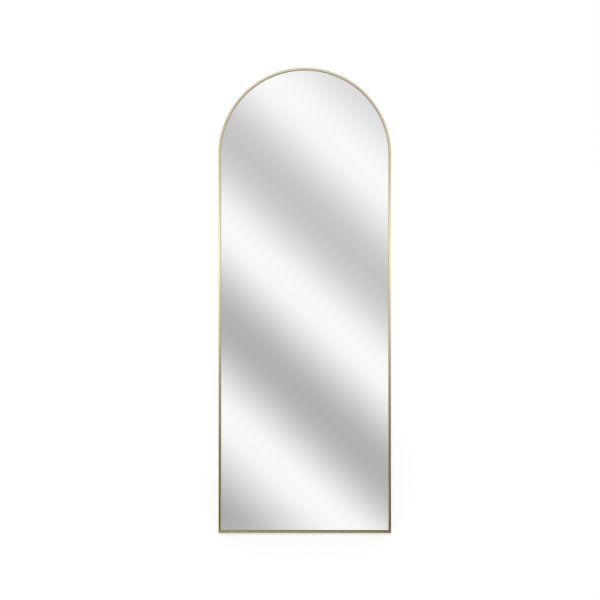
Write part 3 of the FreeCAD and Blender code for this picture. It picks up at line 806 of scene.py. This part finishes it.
def add_world():
    """White to the camera, soft light for the surfaces, and a studio to reflect."""
    world = bpy.data.worlds.new("studio")
    world.use_nodes = True
    bpy.context.scene.world = world
    graph = Graph(world.node_tree)
    direction = graph.coordinates("Generated")
    path = graph.rays()
    height = graph.dot(direction, (0, 0, 1))
    sideways = graph.dot(direction, RIGHT)
    soft = graph.span(height, SOFT_LIGHT_CHANGE, SOFT_LIGHT)
    front = graph.span(graph.math("ABSOLUTE", sideways), WALLS_CHANGE, (DARK_ROOM, BRIGHT_WALLS))
    behind = graph.span(height, ROOM_BEHIND_CHANGE, ROOM_BEHIND)
    around = graph.mix(graph.span(graph.dot(direction, OUT), BEHIND_TO_FRONT), behind, front)
    ceiling = graph.span(sideways, CEILING_CHANGE, CEILING)
    room = graph.mix(graph.span(height, WALLS_TO_CEILING), around, ceiling)
    level = graph.mix(path["Is Glossy Ray"], soft, room)
    level = graph.mix(path["Is Singular Ray"], level, band_light(graph, direction))
    level = graph.mix(path["Is Camera Ray"], level, grey(1))
    graph.put(world.node_tree.nodes["Background"].inputs["Color"], level)


def add_sheet(name, corners):
    """A flat sheet of the studio, and the graph, shader and coordinates of its own material."""
    mesh = bpy.data.meshes.new(name)
    mesh.from_pydata(corners, [], [(0, 1, 2, 3)])
    sheet = bpy.data.objects.new(name, mesh)
    bpy.context.scene.collection.objects.link(sheet)
    material, graph, shader, place = new_material(name)
    mesh.materials.append(material)
    return sheet, graph, shader, place


def add_floor():
    """A pale floor that shows white where it is lit and keeps the mirror's soft shadow. To blurred
    reflections its colour carries painted light and a painted contact shadow near the mirror's foot.
    """
    corners = [(x * FLOOR_REACH, y * FLOOR_REACH, 0) for x, y in ((-1, -1), (1, -1), (1, 1), (-1, 1))]
    graph, shader, place = add_sheet("floor", corners)[1:]
    path = graph.rays()
    seen = graph.math("MAXIMUM", path["Is Camera Ray"], path["Is Singular Ray"])
    blurred = graph.math("SUBTRACT", path["Is Glossy Ray"], path["Is Singular Ray"])
    foot = at(0, BOTTOM_S, FRONT_N).y
    before = graph.math("SUBTRACT", foot, graph.dot(place, (0, 1, 0)))
    sideways = graph.dot(place, RIGHT)
    # Painted light and shade in the floor's colour, for blurred reflections only: a bright pool before the
    # foot, lighter on the left, a painted contact shadow at the foot, darker near the stiles, an even
    # painted level behind.
    painted_light_in_metal = graph.times(
        graph.span(before, FLOOR_PAINTED_LIGHT_IN_METAL_CHANGE, FLOOR_PAINTED_LIGHT_IN_METAL),
        graph.span(sideways, (-HALF_WIDTH, HALF_WIDTH), FLOOR_PAINTED_LIGHT_ASIDE),
        graph.span(before, FLOOR_PAINTED_CONTACT_SHADOW_CHANGE, FLOOR_PAINTED_CONTACT_SHADOW),
        graph.span(graph.math("ABSOLUTE", sideways), FLOOR_PAINTED_LIGHT_SIDES_CHANGE, FLOOR_PAINTED_LIGHT_SIDES))
    painted_light_in_metal = graph.mix(graph.span(before, FLOOR_PAINTED_LIGHT_BEHIND_CHANGE), grey(FLOOR_PAINTED_LIGHT_BEHIND), painted_light_in_metal)
    unseen = graph.times(graph.span(graph.facing(), FLOOR_GLANCE), path["Is Singular Ray"])
    surface(graph, shader, colour=graph.mix(blurred, grey(FLOOR_TONE), painted_light_in_metal), roughness=1.0,
            Specular_IOR_Level=0.0, Emission_Color=grey(1))
    graph.put(shader.inputs["Emission Strength"], graph.times(seen, FLOOR_LIFT))
    graph.put(shader.inputs["Alpha"], graph.math("SUBTRACT", 1.0, unseen))


def add_softbox():
    """A tall graded light in front of the mirror that only satin surfaces reflect."""
    spread = 1 + SOFTBOX_DISTANCE / CAMERA_DISTANCE
    low = MIDDLE_S - SOFTBOX_REACH
    high = MIDDLE_S + SOFTBOX_REACH
    out = FRONT_N + SOFTBOX_DISTANCE
    half = SOFTBOX_WIDTH / 2
    corners = [at(x, s, out) for x, s in ((-half, low), (half, low), (half, high), (-half, high))]
    softbox, graph, shader, place = add_sheet("softbox", corners)
    softbox.visible_camera = False
    softbox.visible_diffuse = False
    softbox.visible_transmission = False
    softbox.visible_shadow = False
    softbox.data.materials[0].cycles.emission_sampling = "NONE"
    ramp = graph.node("ValToRGB", {0: graph.span(graph.dot(place, UP), (low, high))})
    ramp.color_ramp.interpolation = "EASE"
    stops = ramp.color_ramp.elements
    while len(stops) < len(SOFTBOX_STOPS):
        stops.new(0.5)
    for stop, (up, level, tint) in zip(stops, SOFTBOX_STOPS):
        shown = MIDDLE_S + (BOTTOM_S + up - MIDDLE_S) * spread
        stop.position = (shown - low) / (high - low)
        stop.color = rgb(*[level * part for part in tint])
    glow = graph.node("Emission", {"Color": ramp.outputs[0], "Strength": SOFTBOX_POWER})
    clear = graph.node("BsdfTransparent")
    unseen = graph.math("MAXIMUM", graph.rays()["Is Singular Ray"],
                        graph.span(graph.facing(), SOFTBOX_GLANCE))
    mixed = graph.node("MixShader", {0: unseen, 1: glow.outputs[0], 2: clear.outputs[0]})
    graph.put(graph.tree.nodes["Material Output"].inputs["Surface"], mixed.outputs[0])
    graph.tree.nodes.remove(shader)


def add_sun():
    """One broad soft light from the front, above and to the left."""
    sun = bpy.data.objects.new("soft_key", bpy.data.lights.new("soft_key", "SUN"))
    sun.data.energy = SUN_ENERGY
    sun.data.angle = math.radians(SUN_ANGLE)
    sun.rotation_euler = [math.radians(angle) for angle in SUN_TURN]
    sun.visible_glossy = False
    bpy.context.scene.collection.objects.link(sun)


def main():
    add_camera()
    materials = {
        "frame_metal": champagne_metal("frame_metal"),
        "bottom_rail": champagne_metal("frame_metal_rail", straight_rail=True),
        "silvered_glass": mirror_silver(),
        "film": grey_film(),
        "foam": white_foam(),
        "fibreboard": pressed_board(),
        "rubber": rubber("rubber", BLACK_RUBBER),
        "clear_rubber": rubber("clear_rubber", CLEAR_RUBBER, Transmission_Weight=0.35, IOR=1.45),
        "plated_steel": plated_steel(),
        "cast_zinc": cast_zinc(),
        "stand_coating": powder_coat(),
    }
    dress(materials)
    add_arched_frame("arched_frame", materials)
    add_stand_tube("stand_tube", materials)
    add_screws("bracket_screws", N, lambda n: -1, materials)
    add_screws("hanger_screws", X, lambda x: -1 if x > 0 else 1, materials)
    for side in ("left", "right"):
        add_pin("hinge_pin_" + side, materials)
        add_sleeve("foot_sleeve_" + side, materials)
    add_bumpers("wall_bumpers", materials)
    add_pads("floor_pads", materials)
    add_world()
    add_floor()
    add_softbox()
    add_sun()
    bpy.context.scene.view_settings.view_transform = "Standard"


main()
